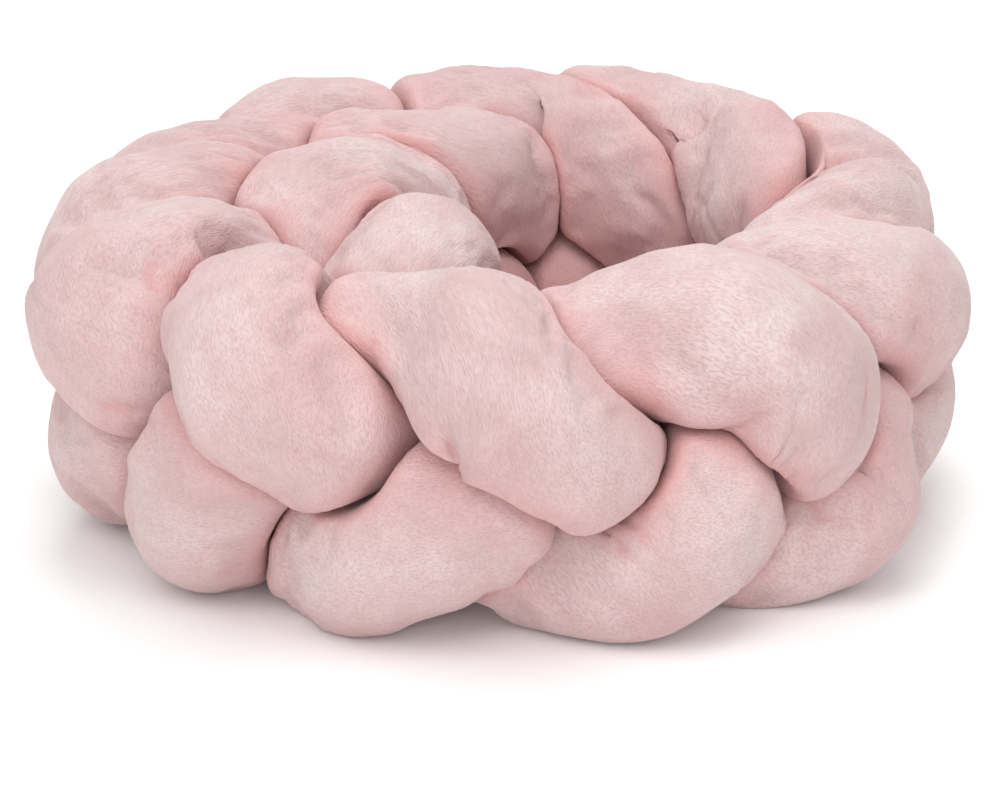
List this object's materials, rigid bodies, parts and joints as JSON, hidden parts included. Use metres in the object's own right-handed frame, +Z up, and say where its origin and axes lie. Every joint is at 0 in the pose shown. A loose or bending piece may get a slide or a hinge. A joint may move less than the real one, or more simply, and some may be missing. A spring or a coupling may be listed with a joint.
{
  "type": "braided crib bumper",
  "caption": "Soft plush bumper plaited from stuffed strands, standing on its edge and coiled into a round nest with a hollow middle.",
  "frame": {"origin": "middle of the ring's base, on the surface it rests on", "axes": "+Z up, -Y towards the front of the ring as pictured, +X to its right"},
  "size_m": [0.4802, 0.5234, 0.1849],
  "materials": {
    "plush_a": "short soft pile, pale pink",
    "plush_b": "short soft pile, pale pink",
    "plush_c": "short soft pile, pale pink"
  },
  "bodies": {
    "root": {"strand_a": "plush_a", "strand_b": "plush_b", "strand_c": "plush_c"}
  },
  "joints": []
}
